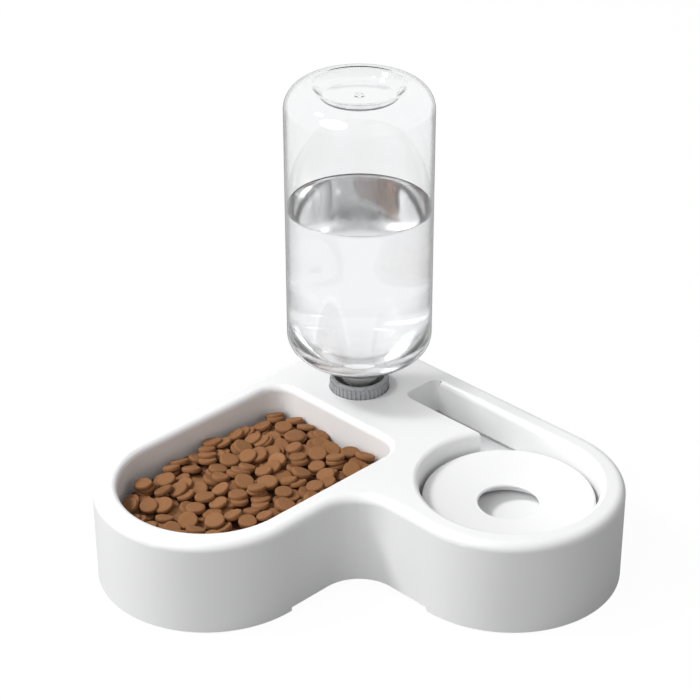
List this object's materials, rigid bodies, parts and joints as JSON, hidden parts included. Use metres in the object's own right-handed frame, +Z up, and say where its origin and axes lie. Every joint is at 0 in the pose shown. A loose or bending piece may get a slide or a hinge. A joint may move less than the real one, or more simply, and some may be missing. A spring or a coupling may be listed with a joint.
{
  "type": "pet food and water dispenser",
  "caption": "Right-angled pet feeder: a dry-food trough in one arm, a floating-disc water well in the other, and an upturned clear water bottle on the deck between them.",
  "frame": {"origin": "on the floor under the middle of the footprint", "axes": "+Z up, +Y towards the bottle at the back, +X towards the water arm"},
  "size_m": [0.264, 0.2, 0.224],
  "materials": {
    "white_plastic": "smooth white moulding with a soft sheen",
    "float_plastic": "smooth white moulding, satin",
    "cap_plastic": "frosted grey moulding",
    "valve_plastic": "satin",
    "washer_rubber": "soft, matt",
    "seal_rubber": "soft, matt",
    "foot_rubber": "soft, matt",
    "steel": "plain stainless",
    "clear_bottle": "clear, glossy",
    "water": "clear liquid",
    "dry_food": "rough, dry, crumbly"
  },
  "bodies": {
    "base": {"housing": "white_plastic", "water_tray": "white_plastic", "bottom_cover": "white_plastic", "cover_screws": "steel", "tray_screws": "steel", "foot_left_end": "foot_rubber", "foot_left_inner": "foot_rubber", "foot_right_end": "foot_rubber", "foot_right_inner": "foot_rubber", "foot_back": "foot_rubber", "kibble": "dry_food"},
    "float": {"float_disc": "float_plastic", "float_base": "float_plastic"},
    "cap": {"valve_cap": "cap_plastic", "valve_cage": "valve_plastic", "valve_spring": "steel"},
    "plunger": {"valve_plunger": "valve_plastic", "plunger_seal": "seal_rubber"},
    "washer": {"cap_washer": "washer_rubber"},
    "bottle": {"bottle": "clear_bottle", "bottle_water": "water"}
  },
  "joints": [
    {"name": "float_rise", "type": "slide", "parent": "base", "child": "float", "axis": [0, 0, 1], "range_m": [0, 0.035]},
    {"name": "dock_lift", "type": "slide", "parent": "base", "child": "cap", "axis": [0, 0, 1], "range_m": [0, 0.05]},
    {"name": "valve_close", "type": "slide", "parent": "cap", "child": "plunger", "axis": [0, 0, 1], "range_m": [-0.003, 0], "deforming": ["valve_spring"]},
    {"name": "bottle_rise", "type": "slide", "parent": "cap", "child": "washer", "axis": [0, 0, 1], "range_m": [0, 0.0045]},
    {"name": "bottle_turn", "type": "hinge", "parent": "washer", "child": "bottle", "pos_m": [0, 0.04923, 0], "axis": [0, 0, 1], "range_deg": [0, 540]}
  ],
  "couplings": [
    {"joint": "valve_close", "follows": "dock_lift", "ratio": -0.06},
    {"joint": "bottle_rise", "follows": "bottle_turn", "m_per_rad": 0.000477}
  ]
}
